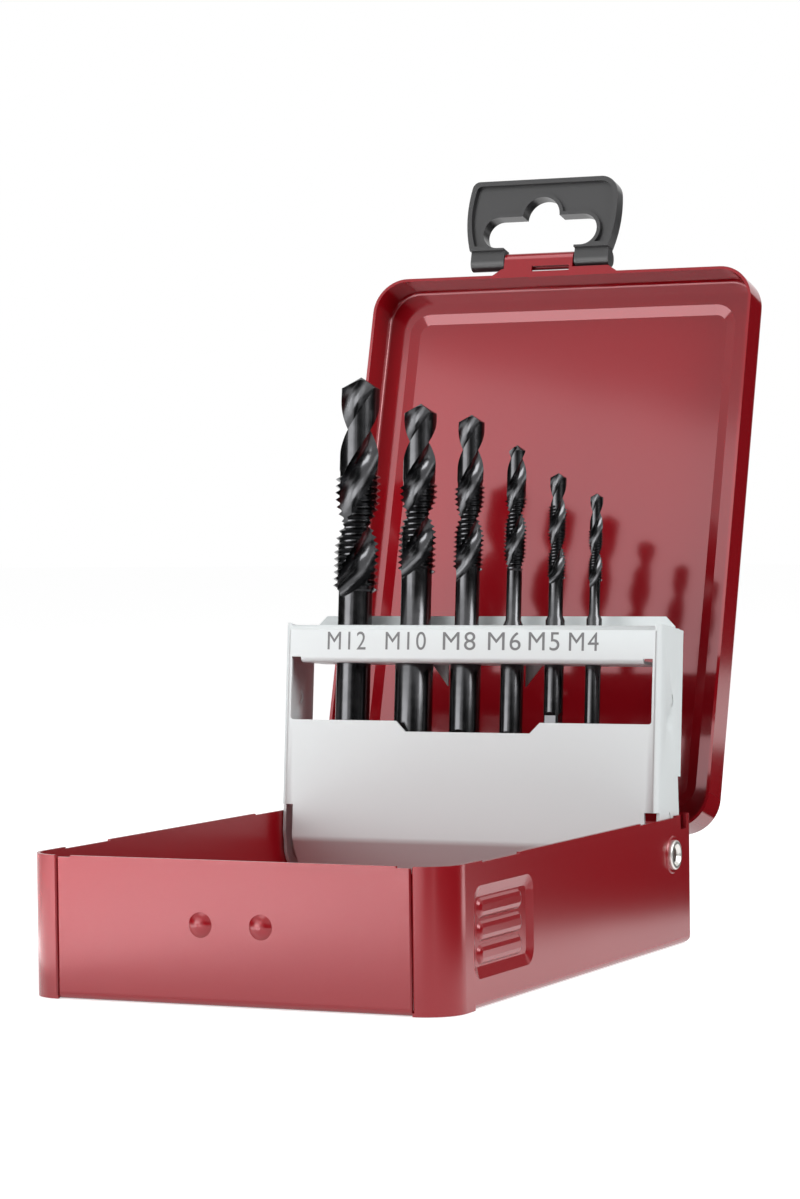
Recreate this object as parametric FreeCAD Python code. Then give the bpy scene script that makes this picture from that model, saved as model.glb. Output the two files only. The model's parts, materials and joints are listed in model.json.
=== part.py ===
import FreeCAD, Part

import math
import os

# Folding sheet-steel case for combination drill-and-tap bits.
# A tray lies on the bench, a lid hinges on its rear wall, and a holder with the upright bits
# stands on two hollow rivets. A moulded hanger on the lid's front edge closes the case and
# hangs it on a hook. Millimetres, +X right, +Y to the rear, +Z up. The origin is the centre
# of the tray's underside. Every piece is drawn where it stands with the case open.

# ---------------------------------------------------------------- driving dimensions
# sheet and clearances
SHEET = 0.8
FLAT_GAP = 0.3              # between flat faces that pass each other
RUNNING_GAP = 0.05          # radial, between a pin and its hole
CUT_PAST = 1.0              # a cutter runs this far past the face that it opens

# tray
TRAY_WIDTH = 107.4
TRAY_DEPTH = 152.0
TRAY_HEIGHT = 33.0
TRAY_FRONT_RADIUS = 9.0     # plan radius of the two front corners
TRAY_REAR_RADIUS = 2.2      # plan radius of the two rear corners
TRAY_FLOOR_BEND = 1.8       # outer bend between the walls and the floor
RIM_DIP = 0.4               # the rim is drawn down this much above a pressing
RIM_DIPS = ((18.5, 39.8), (116.0, 141.0))   # each from and to, measured from the front face
NOTCH_WIDTH = 4.0           # relief notch in each side wall, ahead of the rear post
NOTCH_DEPTH = 3.7
POST_WIDTH = 4.0            # rear post, along the side wall and along the rear wall
WRAP_LENGTH = 14.0          # square foot of each front corner, which is wrapped round from the side
SEAM_GAP = 0.3              # butt seam between that corner and the front wall
SEAM_ROUND = 0.35           # how far the seam's edges are rounded over
SEAM_NOTCH = 1.0            # notch at the seam's top
SEAM_DIP = 3.6              # the front wall's rim dips for this length beside the seam

# finger grips pressed into the side walls
GRIP_START = 13.5           # from the tray's front face
GRIP_LENGTH = 34.0
GRIP_CENTRE_Z = 17.1
GRIP_CORNER = 3.8
GRIP_SLOPE = 2.6            # width of the sloped edge
GRIP_DEPTH = 0.9
GRIP_RIB_PITCH = 5.2
GRIP_RIB_HALF = 2.3         # half width of a rib at its root
GRIP_RIB_START = 3.4        # from the front end of the grip
GRIP_RIB_LENGTH = 25.2
GRIP_RIB_SINK = 0.1         # the ribs' crests stay this far below the wall's face
GRIP_RIB_PROFILE = ((1.0, 0.0), (0.74, 0.62), (0.34, 1.0))  # share of the width, of the rise
GRIP_RIB_CORNER = 0.9       # corner radius, as a share of the half width
GRIP_RIB_COUNT = 3

# domed bumps on the front wall
BUMP_SPACING = 15.2
BUMP_Z = 18.3
BUMP_RADIUS = 2.9
BUMP_RISE = 1.3

# lid
LID_WIDTH = 110.8
LID_OVERHANG = 0.6          # the closed lid's front face stands this far ahead of the tray's
LID_SKIRT = 10.6
LID_CORNER_RADIUS = 9.5
LID_EDGE_BEND = 1.6
LID_LEAN = 15.6             # degrees behind upright when open
FIELD_MARGIN = 7.35         # from the lid's edge to the raised field
FIELD_RADIUS = 6.0
FIELD_SLOPE = 2.75
FIELD_RISE = 0.9

# lid hinge, rolled knuckles on a wire pin
HINGE_PIN_RADIUS = 0.9
HINGE_DROP = 4.4            # pin centre below the tray's rim
HINGE_LENGTH = 96.0
KNUCKLE_COUNT = 7
KNUCKLE_SWEEP = 325.0       # degrees of roll

# tab and curl on the lid's front edge, which carry the hanger
CURL_RADIUS = 2.4
CURL_REACH = 4.3            # curl centre ahead of the lid's front face
CURL_SWEEP = 300.0
TAB_LENGTH = 36.6
TAB_REACH = 1.7
TAB_SLOPE = 2.6             # how much each end of the tab leans in
TAB_OFFSET = 5.0            # middle of the tab to the right of the hanger's
TAB_SLOT_LENGTH = 11.0
TAB_SLOT_HEIGHT = 1.5
TAB_SLOT_OFFSET = 3.7       # middle of the slot to the right of the hanger's

# hanger
HANGER_X = -7.0             # middle of the hanger, left of the case's middle
HANGER_FOOT_HALF = 20.4     # half width beside the barrels
HANGER_WAIST_HALF = 22.1    # half width at the widest place
HANGER_TOP_HALF = 21.0
HANGER_REACH = 22.8         # from the pin to the far edge
HANGER_CORNERS = (2.2, 5.2)
HANGER_FRONT = 3.4          # rim in front of the pin
HANGER_BACK = 0.8
HANGER_RIM = 1.3
HANGER_RECESS = 1.2
HANGER_CORE = 1.6           # depth of the pocket in the back
BARREL_RADIUS = 2.3
BARREL_LENGTH = 9.9
BARREL_SPACING = 20.8       # between the barrels' inner faces
PIN_LENGTH = 4.0
SLOT_HALF = 16.75
SLOT_LOW = 3.3
SLOT_HIGH = 12.1
ARCH_RADIUS = 5.4
RIDGE = 1.0                 # raised ridge left round the slot

# holder, measured upright from its pivot
PIVOT_INSET = 13.8          # pivot ahead of the tray's rear face
PIVOT_Z = 23.4
HOLDER_LEAN = 5.1           # degrees behind upright when open
HOLDER_SIDE_GAP = 0.2       # from a flange to the tray's wall
HOLDER_FRONT = 9.0          # the panel's face ahead of the pivot
HOLDER_REAR = 6.9           # the flange's edge behind the pivot
HOLDER_TOP = 57.4
HOLDER_BEND = 1.6
FLANGE_FALL = 0.5           # the flange's top edge starts above the shelf and ends below it
FLANGE_STEP = 1.9           # the rear edge steps in by this much
FLANGE_STEP_Z = 19.8
FLANGE_HIP_Z = 11.0
FLANGE_HIP = 0.6
EAR_RADIUS = 6.6
PANEL_NOTCH_WIDTH = 3.5
PANEL_NOTCH_Z = 10.3
PANEL_LOW = 2.2             # where the apron starts to turn back
APRON_BEND = 3.0
APRON_SWEEP = 32.0
APRON_LENGTH = 9.0
APRON_CORNER = 3.0
WINDOW_SIDE = 2.1           # panel left on each side of the window
WINDOW_TOP = 47.6
WINDOW_BOTTOM = 32.5
WINDOW_DIP = 2.75
WINDOW_DIP_HALF = 17.5
WINDOW_CORNER = 0.8
SHELF_SIDE_GAP = 0.3
SHELF_BEND = 1.4
SHELF_HOLE_GAP = 0.2
FLAP_HALF = 48.0
FLAP_INSET = 1.0            # the flap's rear edge ahead of the flange's
GUSSET_X = 11.0
GUSSET_WIDTH = 4.4
GUSSET_HEIGHT = 5.5
GUSSET_Y = 3.0
LIP_HEIGHT = 3.1
LIP_HALF = 50.5
LIP_BEVEL = 2.5
REST_STRIP = 4.0            # height of the bracket's strip under the lowest ledge
DIMPLE_Z = 33.5
DIMPLE_Y = -1.8
DIMPLE_RADIUS = 2.85
DIMPLE_RISE = 0.6
SLIT_WIDTH = 0.5
SLIT_RADIUS = 2.3
SLIT_SWEEP = 100.0
SLIT_HEIGHTS = (38.8, 9.0)

# hollow rivets on the holder's pivot
EYELET_RADIUS = 2.3
EYELET_BORE = 1.9
EYELET_HEAD_RADIUS = 3.75
EYELET_HEAD = 0.9
EYELET_CURL = 0.8           # thickness of the rolled inner flange
BOSS_RADIUS = 4.8
BOSS_RISE = 0.3

# bits, one dictionary each: "left" is measured from the holder's left side, "foot" from the
# pivot, then come diameters, then lengths measured from the tip; "facing" is where a flute
# first looks towards FLUTE_LOOK
BIT_SIZES = {
    "bit_m12": {"left": 16.3, "foot": 13.2, "length": 110.0, "lead": 49.0, "facing": 5.5,
                "drill": 10.2, "thread": 12.0, "neck": 9.0, "shank": 9.0, "tang": 11.0,
                "thread_from": 24.5, "thread_to": 56.2, "flutes_to": 59.6},
    "bit_m10": {"left": 33.85, "foot": 15.8, "length": 100.0, "lead": 38.3, "facing": 4.4,
                "drill": 8.5, "thread": 10.0, "neck": 8.0, "shank": 10.0, "tang": 11.0,
                "thread_from": 20.0, "thread_to": 44.1, "flutes_to": 46.9, "shank_from": 56.5},
    "bit_m8": {"left": 48.5, "foot": 22.6, "length": 90.0, "lead": 35.5, "facing": 4.2,
               "drill": 6.8, "thread": 8.0, "neck": 6.3, "shank": 8.0, "tang": 6.6,
               "thread_from": 17.3, "thread_to": 40.3, "flutes_to": 44.5, "shank_from": 54.3},
    "bit_m6": {"left": 61.6, "foot": 24.4, "length": 80.0, "lead": 28.4, "facing": 13.2,
               "drill": 5.0, "thread": 6.0, "neck": 4.0, "shank": 6.0, "tang": 4.9,
               "thread_from": 13.0, "thread_to": 32.1, "flutes_to": 34.0, "shank_from": 45.8},
    "bit_m5": {"left": 73.3, "foot": 27.0, "length": 70.0, "lead": 25.4, "facing": 3.2,
               "drill": 4.2, "thread": 5.0, "neck": 3.8, "shank": 5.0, "tang": 7.6,
               "thread_from": 8.0, "thread_to": 27.0, "flutes_to": 29.2, "shank_from": 36.2},
    "bit_m4": {"left": 84.05, "foot": 28.6, "length": 63.0, "lead": 21.2, "facing": 2.2,
               "drill": 3.3, "thread": 4.0, "neck": 2.8, "shank": 4.0, "tang": 3.5,
               "thread_from": 9.2, "thread_to": 22.2, "flutes_to": 24.8, "shank_from": 30.6},
}
BIT_POINT_HALF_ANGLE = 59.0
BIT_CONE = 2.2              # length of a cone, per step in radius
BIT_CHAMFER = 0.5
BIT_WEB = 0.24              # web at the flutes' roots, as a share of the drill's radius
BIT_LAND = 94.0             # degrees of the circle that each land keeps
BIT_FLAT = 0.8              # square across flats, as a share of the shank
FLUTE_ROOT = 110.0          # degrees that a flute's flat bottom spans, seen from the axis
FLUTE_REACH = 1.6           # the flute's sides run on past the thread by this factor
FLUTE_LOOK = -66.0          # degrees from +X towards +Y

# ---------------------------------------------------------------- derived places
HALF_WIDTH = TRAY_WIDTH / 2
FRONT_Y = -TRAY_DEPTH / 2
REAR_Y = TRAY_DEPTH / 2

KNUCKLE_BORE = HINGE_PIN_RADIUS + RUNNING_GAP
KNUCKLE_RADIUS = KNUCKLE_BORE + SHEET
KNUCKLE_PITCH = HINGE_LENGTH / KNUCKLE_COUNT
HINGE_Y = REAR_Y + KNUCKLE_BORE
HINGE_Z = TRAY_HEIGHT - HINGE_DROP
HINGE_CLEAR = KNUCKLE_RADIUS + FLAT_GAP
LEAF_HALF = HALF_WIDTH - POST_WIDTH
SEAM_X = HALF_WIDTH - TRAY_FRONT_RADIUS

LID_HALF = LID_WIDTH / 2
LID_LOW = TRAY_HEIGHT + FLAT_GAP
LID_HIGH = LID_LOW + LID_SKIRT
LID_FRONT_Y = FRONT_Y - LID_OVERHANG
LID_OPENING = 90.0 + LID_LEAN

CURL_Y = LID_FRONT_Y - CURL_REACH
CURL_Z = LID_LOW + CURL_RADIUS
CURL_HALF = BARREL_SPACING / 2 - FLAT_GAP
SLAB_LOW = CURL_RADIUS + FLAT_GAP

PIVOT_Y = REAR_Y - PIVOT_INSET
HOLDER_HALF = HALF_WIDTH - SHEET - HOLDER_SIDE_GAP
HOLDER_INNER = HOLDER_HALF - SHEET
PANEL_FACE = -HOLDER_FRONT
PANEL_BACK = PANEL_FACE + SHEET
APRON_HALF = HOLDER_HALF - PANEL_NOTCH_WIDTH
SHELF_HALF = HOLDER_INNER - SHELF_SIDE_GAP
BIT_ROW_Y = (PANEL_FACE + HOLDER_REAR) / 2

X_AXIS = FreeCAD.Vector(1, 0, 0)
Y_AXIS = FreeCAD.Vector(0, 1, 0)
Z_AXIS = FreeCAD.Vector(0, 0, 1)
ORIGIN = FreeCAD.Vector(0, 0, 0)


# ---------------------------------------------------------------- drawing helpers
def box(x0, x1, y0, y1, z0, z1):
    return Part.makeBox(x1 - x0, y1 - y0, z1 - z0, FreeCAD.Vector(x0, y0, z0))


def rod(radius, x0, x1, y=0.0, z=0.0):
    return Part.makeCylinder(radius, x1 - x0, FreeCAD.Vector(x0, y, z), X_AXIS)


def moved(shape, x=0.0, y=0.0, z=0.0):
    copy = shape.copy()
    copy.translate(FreeCAD.Vector(x, y, z))
    return copy


def turned(shape, axis, degrees, centre=ORIGIN):
    copy = shape.copy()
    copy.rotate(centre, axis, degrees)
    return copy


def mirrored(shape):
    return shape.mirror(ORIGIN, X_AXIS)


def polygon_face(points):
    return Part.Face(Part.makePolygon(points + points[:1]))


def plan_plate(outline, z0, z1):
    """Plate with straight edges, outlined in (x, y)."""
    face = polygon_face([FreeCAD.Vector(x, y, z0) for x, y in outline])
    return face.extrude(FreeCAD.Vector(0, 0, z1 - z0))


def front_plate(outline, y0, y1):
    """Plate with straight edges, outlined in (x, z)."""
    face = polygon_face([FreeCAD.Vector(x, y0, z) for x, z in outline])
    return face.extrude(FreeCAD.Vector(0, y1 - y0, 0))


def side_plate(outline, x0, x1):
    """Plate with straight edges, outlined in (y, z)."""
    face = polygon_face([FreeCAD.Vector(x0, y, z) for y, z in outline])
    return face.extrude(FreeCAD.Vector(x1 - x0, 0, 0))


def rounded_outline(half, y0, y1, front_radius, rear_radius, z):
    """Closed plan outline with four round corners, anticlockwise from the rear right."""
    corners = (
        (half - rear_radius, y1 - rear_radius, rear_radius),
        (rear_radius - half, y1 - rear_radius, rear_radius),
        (front_radius - half, y0 + front_radius, front_radius),
        (half - front_radius, y0 + front_radius, front_radius),
    )
    arcs = []
    for quarter, (x, y, radius) in enumerate(corners):
        points = []
        for eighth in (0, 1, 2):
            angle = math.pi / 2 * quarter + math.pi / 4 * eighth
            points.append(FreeCAD.Vector(x + radius * math.cos(angle), y + radius * math.sin(angle), z))
        arcs.append(points)
    edges = []
    for points, following in zip(arcs, arcs[1:] + arcs[:1]):
        edges.append(Part.Arc(*points).toShape())
        edges.append(Part.makeLine(points[2], following[0]))
    return Part.Wire(edges)


def rounded_block(half, y0, y1, front_radius, rear_radius, z0, z1):
    outline = rounded_outline(half, y0, y1, front_radius, rear_radius, z0)
    return Part.Face(outline).extrude(FreeCAD.Vector(0, 0, z1 - z0))


def sloped_field(half, y0, y1, radius, slope, rise):
    """Low plateau on the XY plane whose edge slopes in by the given width."""
    foot = rounded_outline(half, y0, y1, radius, radius, 0)
    top = rounded_outline(half - slope, y0 + slope, y1 - slope, radius - slope, radius - slope, rise)
    return Part.makeLoft([foot, top], True, True)


def bend_level_edges(shape, z, radius):
    level = [edge for edge in shape.Edges if all(abs(v.Point.z - z) < 1e-6 for v in edge.Vertexes)]
    return shape.makeFillet(radius, level)


def rolled_sheet(bore, outer, start, sweep, x0, x1, y=0.0, z=0.0):
    """Sheet rolled round an X axis; angles in degrees from +Y towards +Z."""
    def at(radius, turn):
        angle = math.radians(start + turn)
        return FreeCAD.Vector(x0, y + radius * math.cos(angle), z + radius * math.sin(angle))
    edges = [
        Part.Arc(at(outer, 0), at(outer, sweep / 2), at(outer, sweep)).toShape(),
        Part.makeLine(at(outer, sweep), at(bore, sweep)),
        Part.Arc(at(bore, sweep), at(bore, sweep / 2), at(bore, 0)).toShape(),
        Part.makeLine(at(bore, 0), at(outer, 0)),
    ]
    return Part.Face(Part.Wire(edges)).extrude(FreeCAD.Vector(x1 - x0, 0, 0))


def dome(radius, rise):
    """Cap of a sphere on the XY plane."""
    ball = (radius ** 2 + rise ** 2) / (2 * rise)
    sphere = Part.makeSphere(ball, FreeCAD.Vector(0, 0, rise - ball))
    return sphere.common(Part.makeCylinder(ball, rise))


def open_lid(shape):
    return turned(shape, X_AXIS, -LID_OPENING, FreeCAD.Vector(0, HINGE_Y, HINGE_Z))


def stand_holder(shape):
    return moved(turned(shape, X_AXIS, -HOLDER_LEAN), 0, PIVOT_Y, PIVOT_Z)


# ---------------------------------------------------------------- tray
def grip_rib():
    """Rounded rib that stands up from the pocket's floor, lofted through three outlines."""
    rise = GRIP_DEPTH - GRIP_RIB_SINK
    start = FRONT_Y + GRIP_START + GRIP_RIB_START
    sections = []
    for share, height in GRIP_RIB_PROFILE:
        half = GRIP_RIB_HALF * share
        inset = GRIP_RIB_HALF - half
        corner = half * GRIP_RIB_CORNER
        sections.append(rounded_outline(half, start + inset, start + GRIP_RIB_LENGTH - inset,
                                        corner, corner, GRIP_DEPTH - rise * height))
    return Part.makeLoft(sections, True, True)


def grip_pressing():
    """Pocket with raised ribs, sunk into the right side wall."""
    start = FRONT_Y + GRIP_START
    reach = GRIP_RIB_PITCH * GRIP_RIB_COUNT / 2 + GRIP_SLOPE
    pocket = sloped_field(reach, start, start + GRIP_LENGTH, GRIP_CORNER, GRIP_SLOPE, GRIP_DEPTH)
    middle = (GRIP_RIB_COUNT - 1) / 2
    ribs = [moved(grip_rib(), (number - middle) * GRIP_RIB_PITCH) for number in range(GRIP_RIB_COUNT)]
    pressing = turned(pocket.cut(ribs), Y_AXIS, -90)
    return moved(pressing, HALF_WIDTH, 0, GRIP_CENTRE_Z)


def eyelet_boss():
    top = BOSS_RADIUS - BOSS_RISE
    return Part.makeCone(BOSS_RADIUS, top, BOSS_RISE, FreeCAD.Vector(HALF_WIDTH, PIVOT_Y, PIVOT_Z), X_AXIS)


def front_bumps():
    bump = moved(turned(dome(BUMP_RADIUS, BUMP_RISE), X_AXIS, 90), BUMP_SPACING / 2, FRONT_Y, BUMP_Z)
    return [bump, mirrored(bump)]


def tray_body():
    """Open box of even sheet with its grips, bumps and rivet bosses pressed in."""
    outer = rounded_block(HALF_WIDTH, FRONT_Y, REAR_Y, TRAY_FRONT_RADIUS, TRAY_REAR_RADIUS, 0, TRAY_HEIGHT)
    outer = bend_level_edges(outer, 0, TRAY_FLOOR_BEND)
    cavity = rounded_block(HALF_WIDTH - SHEET, FRONT_Y + SHEET, REAR_Y - SHEET,
                           TRAY_FRONT_RADIUS - SHEET, TRAY_REAR_RADIUS - SHEET,
                           SHEET, TRAY_HEIGHT + SHEET)
    cavity = bend_level_edges(cavity, SHEET, TRAY_FLOOR_BEND - SHEET)
    grip = grip_pressing()
    boss = eyelet_boss()
    inner_grip = moved(grip, -SHEET)
    inner_boss = moved(boss, -SHEET)
    outer = outer.cut([grip, mirrored(grip)])
    cavity = cavity.cut([inner_grip, mirrored(inner_grip)])
    outer = outer.fuse([boss, mirrored(boss)] + front_bumps())
    inner_bumps = [moved(bump, 0, SHEET) for bump in front_bumps()]
    cavity = cavity.fuse([inner_boss, mirrored(inner_boss)] + inner_bumps)
    return outer.cut(cavity)


def wrapped_corners():
    """Foot of the two front corners, which stand square on the bench with no bend."""
    outer = rounded_block(HALF_WIDTH, FRONT_Y, REAR_Y, TRAY_FRONT_RADIUS, TRAY_REAR_RADIUS,
                          0, TRAY_FLOOR_BEND)
    cavity = rounded_block(HALF_WIDTH - SHEET, FRONT_Y + SHEET, REAR_Y - SHEET,
                           TRAY_FRONT_RADIUS - SHEET, TRAY_REAR_RADIUS - SHEET, 0, TRAY_FLOOR_BEND)
    corner = box(SEAM_X, HALF_WIDTH, FRONT_Y, FRONT_Y + WRAP_LENGTH, 0, TRAY_FLOOR_BEND)
    foot = outer.cut(cavity).common(corner)
    return [foot, mirrored(foot)]


def corner_seams():
    """Butt seams beside the front wall, rounded over at the face and notched at the rim."""
    half = SEAM_GAP / 2
    mouth = half + SEAM_ROUND
    inside = FRONT_Y + SHEET + CUT_PAST
    high = TRAY_HEIGHT + CUT_PAST
    seam = plan_plate([(-mouth, FRONT_Y), (-half, FRONT_Y + SEAM_ROUND), (-half, inside),
                       (half, inside), (half, FRONT_Y + SEAM_ROUND), (mouth, FRONT_Y)],
                      SHEET, high)
    notch_low = TRAY_HEIGHT - SEAM_NOTCH
    notch = front_plate([(0, notch_low), (-SEAM_NOTCH, high), (SEAM_NOTCH, high)], FRONT_Y, inside)
    dip = box(-SEAM_DIP, 0, FRONT_Y, inside, TRAY_HEIGHT - RIM_DIP, high)
    cuts = [moved(shape, SEAM_X) for shape in (seam, notch, dip)]
    return cuts + [mirrored(cut) for cut in cuts]


def tray_openings():
    """Rim dips, notches, seams, the low rear wall and the rivet holes."""
    high = TRAY_HEIGHT + SHEET
    cuts = corner_seams()
    for start, end in RIM_DIPS:
        cuts.append(box(-HALF_WIDTH, HALF_WIDTH, FRONT_Y + start, FRONT_Y + end, TRAY_HEIGHT - RIM_DIP, high))
    notch_end = REAR_Y - POST_WIDTH
    cuts.append(box(-HALF_WIDTH, HALF_WIDTH, notch_end - NOTCH_WIDTH, notch_end,
                    TRAY_HEIGHT - NOTCH_DEPTH, high))
    cuts.append(box(-LEAF_HALF, LEAF_HALF, notch_end, REAR_Y, HINGE_Z - HINGE_CLEAR, high))
    reach = HALF_WIDTH + BOSS_RISE
    cuts.append(rod(EYELET_RADIUS, -reach, reach, PIVOT_Y, PIVOT_Z))
    return cuts


def knuckle_span(number):
    left = number * KNUCKLE_PITCH - HINGE_LENGTH / 2
    return left + FLAT_GAP / 2, left + KNUCKLE_PITCH - FLAT_GAP / 2


def tray_knuckles():
    """Tongues that rise from the rear wall and roll over the pin, tight on it."""
    pieces = []
    for number in range(0, KNUCKLE_COUNT, 2):
        left, right = knuckle_span(number)
        pieces.append(box(left, right, REAR_Y - SHEET, REAR_Y, HINGE_Z - HINGE_CLEAR, HINGE_Z))
        pieces.append(rolled_sheet(HINGE_PIN_RADIUS, KNUCKLE_RADIUS, 180, -KNUCKLE_SWEEP,
                                   left, right, HINGE_Y, HINGE_Z))
    return pieces


def tray_shell():
    body = tray_body().fuse(wrapped_corners())
    return body.cut(tray_openings()).fuse(tray_knuckles()).removeSplitter()


def hinge_pin():
    return rod(HINGE_PIN_RADIUS, -HINGE_LENGTH / 2, HINGE_LENGTH / 2, HINGE_Y, HINGE_Z)


def hinge_eyelet():
    """Right-hand hollow rivet through the tray's wall and the holder's flange."""
    outside = HALF_WIDTH + BOSS_RISE
    inside = HOLDER_INNER - FLAT_GAP / 2 - EYELET_CURL
    head = rod(EYELET_HEAD_RADIUS, outside, outside + EYELET_HEAD)
    head = head.makeFillet(EYELET_HEAD * 0.6, [head.Edges[0]])
    curl = rod(EYELET_HEAD_RADIUS, inside, inside + EYELET_CURL)
    tube = rod(EYELET_RADIUS, inside, outside + EYELET_HEAD)
    bore = rod(EYELET_BORE, inside, outside + EYELET_HEAD)
    flare = Part.makeCone(EYELET_BORE, EYELET_BORE + EYELET_HEAD, EYELET_HEAD,
                          FreeCAD.Vector(outside, 0, 0), X_AXIS)
    eyelet = tube.fuse([head, curl]).cut([bore, flare]).removeSplitter()
    return moved(eyelet, 0, PIVOT_Y, PIVOT_Z)


# ---------------------------------------------------------------- lid
def lid_cup():
    """Shallow pan of even sheet with the raised field pressed into its plate."""
    outer = rounded_block(LID_HALF, LID_FRONT_Y, REAR_Y, LID_CORNER_RADIUS, LID_CORNER_RADIUS,
                          LID_LOW, LID_HIGH)
    outer = bend_level_edges(outer, LID_HIGH, LID_EDGE_BEND)
    inner_radius = LID_CORNER_RADIUS - SHEET
    cavity = rounded_block(LID_HALF - SHEET, LID_FRONT_Y + SHEET, REAR_Y - SHEET, inner_radius, inner_radius,
                           LID_LOW - SHEET, LID_HIGH - SHEET)
    cavity = bend_level_edges(cavity, LID_HIGH - SHEET, LID_EDGE_BEND - SHEET)
    field = sloped_field(LID_HALF - FIELD_MARGIN, LID_FRONT_Y + FIELD_MARGIN, REAR_Y - FIELD_MARGIN,
                         FIELD_RADIUS, FIELD_SLOPE, FIELD_RISE)
    outer = outer.fuse(moved(field, 0, 0, LID_HIGH))
    cavity = cavity.fuse(moved(field, 0, 0, LID_HIGH - SHEET))
    return outer.cut(cavity)


def lid_leaf():
    """Strip below the rear skirt, with tongues that roll under the pin and run free on it."""
    half = LEAF_HALF - FLAT_GAP
    pieces = [box(-half, half, REAR_Y - SHEET, REAR_Y, HINGE_Z + HINGE_CLEAR, LID_LOW)]
    for number in range(1, KNUCKLE_COUNT, 2):
        left, right = knuckle_span(number)
        pieces.append(box(left, right, REAR_Y - SHEET, REAR_Y, HINGE_Z, HINGE_Z + HINGE_CLEAR))
        pieces.append(rolled_sheet(KNUCKLE_BORE, KNUCKLE_RADIUS, 180, KNUCKLE_SWEEP,
                                   left, right, HINGE_Y, HINGE_Z))
    return pieces


def lid_tab():
    """Tab turned out from the front lip, carried on into the rolled curl."""
    middle = HANGER_X + TAB_OFFSET
    left = middle - TAB_LENGTH / 2
    right = middle + TAB_LENGTH / 2
    root = LID_FRONT_Y + SHEET
    tip = LID_FRONT_Y - TAB_REACH
    wing = plan_plate([(left, root), (left, LID_FRONT_Y), (left + TAB_SLOPE, tip),
                       (right - TAB_SLOPE, tip), (right, LID_FRONT_Y), (right, root)],
                      LID_LOW, LID_LOW + SHEET)
    curl_left = HANGER_X - CURL_HALF
    curl_right = HANGER_X + CURL_HALF
    web = box(curl_left, curl_right, CURL_Y, LID_FRONT_Y, LID_LOW, LID_LOW + SHEET)
    curl = rolled_sheet(CURL_RADIUS - SHEET, CURL_RADIUS, 270, -CURL_SWEEP,
                        curl_left, curl_right, CURL_Y, CURL_Z)
    slot_middle = HANGER_X + TAB_SLOT_OFFSET
    slot_far = LID_FRONT_Y - SHEET
    slot = box(slot_middle - TAB_SLOT_LENGTH / 2, slot_middle + TAB_SLOT_LENGTH / 2,
               slot_far - TAB_SLOT_HEIGHT, slot_far, LID_LOW - SHEET, LID_LOW + 2 * SHEET)
    return wing.fuse([web, curl]).cut(slot)


def lid_shell():
    return open_lid(lid_cup().fuse(lid_leaf() + [lid_tab()]).removeSplitter())


# ---------------------------------------------------------------- hanger
def hanger_outline(inset):
    """Outline in (x, y), with y away from the pin, drawn in by the inset."""
    foot = HANGER_FOOT_HALF - inset
    waist = HANGER_WAIST_HALF - inset
    top = HANGER_TOP_HALF - inset
    low = SLAB_LOW + inset
    high = HANGER_REACH - inset
    middle = (low + high) / 2
    edges = [
        Part.makeLine(FreeCAD.Vector(-foot, low, 0), FreeCAD.Vector(foot, low, 0)),
        Part.Arc(FreeCAD.Vector(foot, low, 0), FreeCAD.Vector(waist, middle, 0),
                 FreeCAD.Vector(top, high, 0)).toShape(),
        Part.makeLine(FreeCAD.Vector(top, high, 0), FreeCAD.Vector(-top, high, 0)),
        Part.Arc(FreeCAD.Vector(-top, high, 0), FreeCAD.Vector(-waist, middle, 0),
                 FreeCAD.Vector(-foot, low, 0)).toShape(),
    ]
    return Part.Wire(edges)


def far_corner(slab, side):
    """Upright edge of the slab's far corner, on the left for -1 or the right for 1."""
    edges = []
    for edge in slab.Edges:
        ends = [vertex.Point for vertex in edge.Vertexes]
        upright = abs(ends[0].z - ends[-1].z) > SHEET
        if upright and ends[0].y > HANGER_REACH / 2 and ends[0].x * side > 0:
            edges.append(edge)
    return edges


def hanger_slab(inset, z0, z1):
    """Slab with a small far corner on the left and a large one on the right."""
    slab = Part.Face(hanger_outline(inset)).extrude(FreeCAD.Vector(0, 0, z1 - z0))
    small, large = HANGER_CORNERS
    slab = slab.makeFillet(small - inset / 2, far_corner(slab, -1))
    slab = slab.makeFillet(large - inset, far_corner(slab, 1))
    return moved(slab, 0, 0, z0)


def hanger_slot(grow, z0, z1):
    """Long slot for a rail with an arch for a hook, grown by the given amount."""
    radius = (SLOT_HIGH - SLOT_LOW) / 2
    reach = SLOT_HALF - radius
    middle = (SLOT_HIGH + SLOT_LOW) / 2
    height = z1 - z0
    pieces = []
    for x in (-reach, reach):
        pieces.append(Part.makeCylinder(radius + grow, height, FreeCAD.Vector(x, middle, z0)))
    pieces.append(Part.makeCylinder(ARCH_RADIUS + grow, height, FreeCAD.Vector(0, SLOT_HIGH, z0)))
    return box(-reach, reach, SLOT_LOW - grow, SLOT_HIGH + grow, z0, z1).fuse(pieces)


def hanger_barrel():
    """Right-hand barrel with its neck and the pin that runs in the curl."""
    near = BARREL_SPACING / 2
    far = near + BARREL_LENGTH
    neck = box(near, far, 0, SLOT_LOW, -HANGER_BACK, BARREL_RADIUS)
    pin_radius = CURL_RADIUS - SHEET - RUNNING_GAP
    return rod(BARREL_RADIUS, near, far).fuse([neck, rod(pin_radius, near - PIN_LENGTH, near)])


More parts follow.
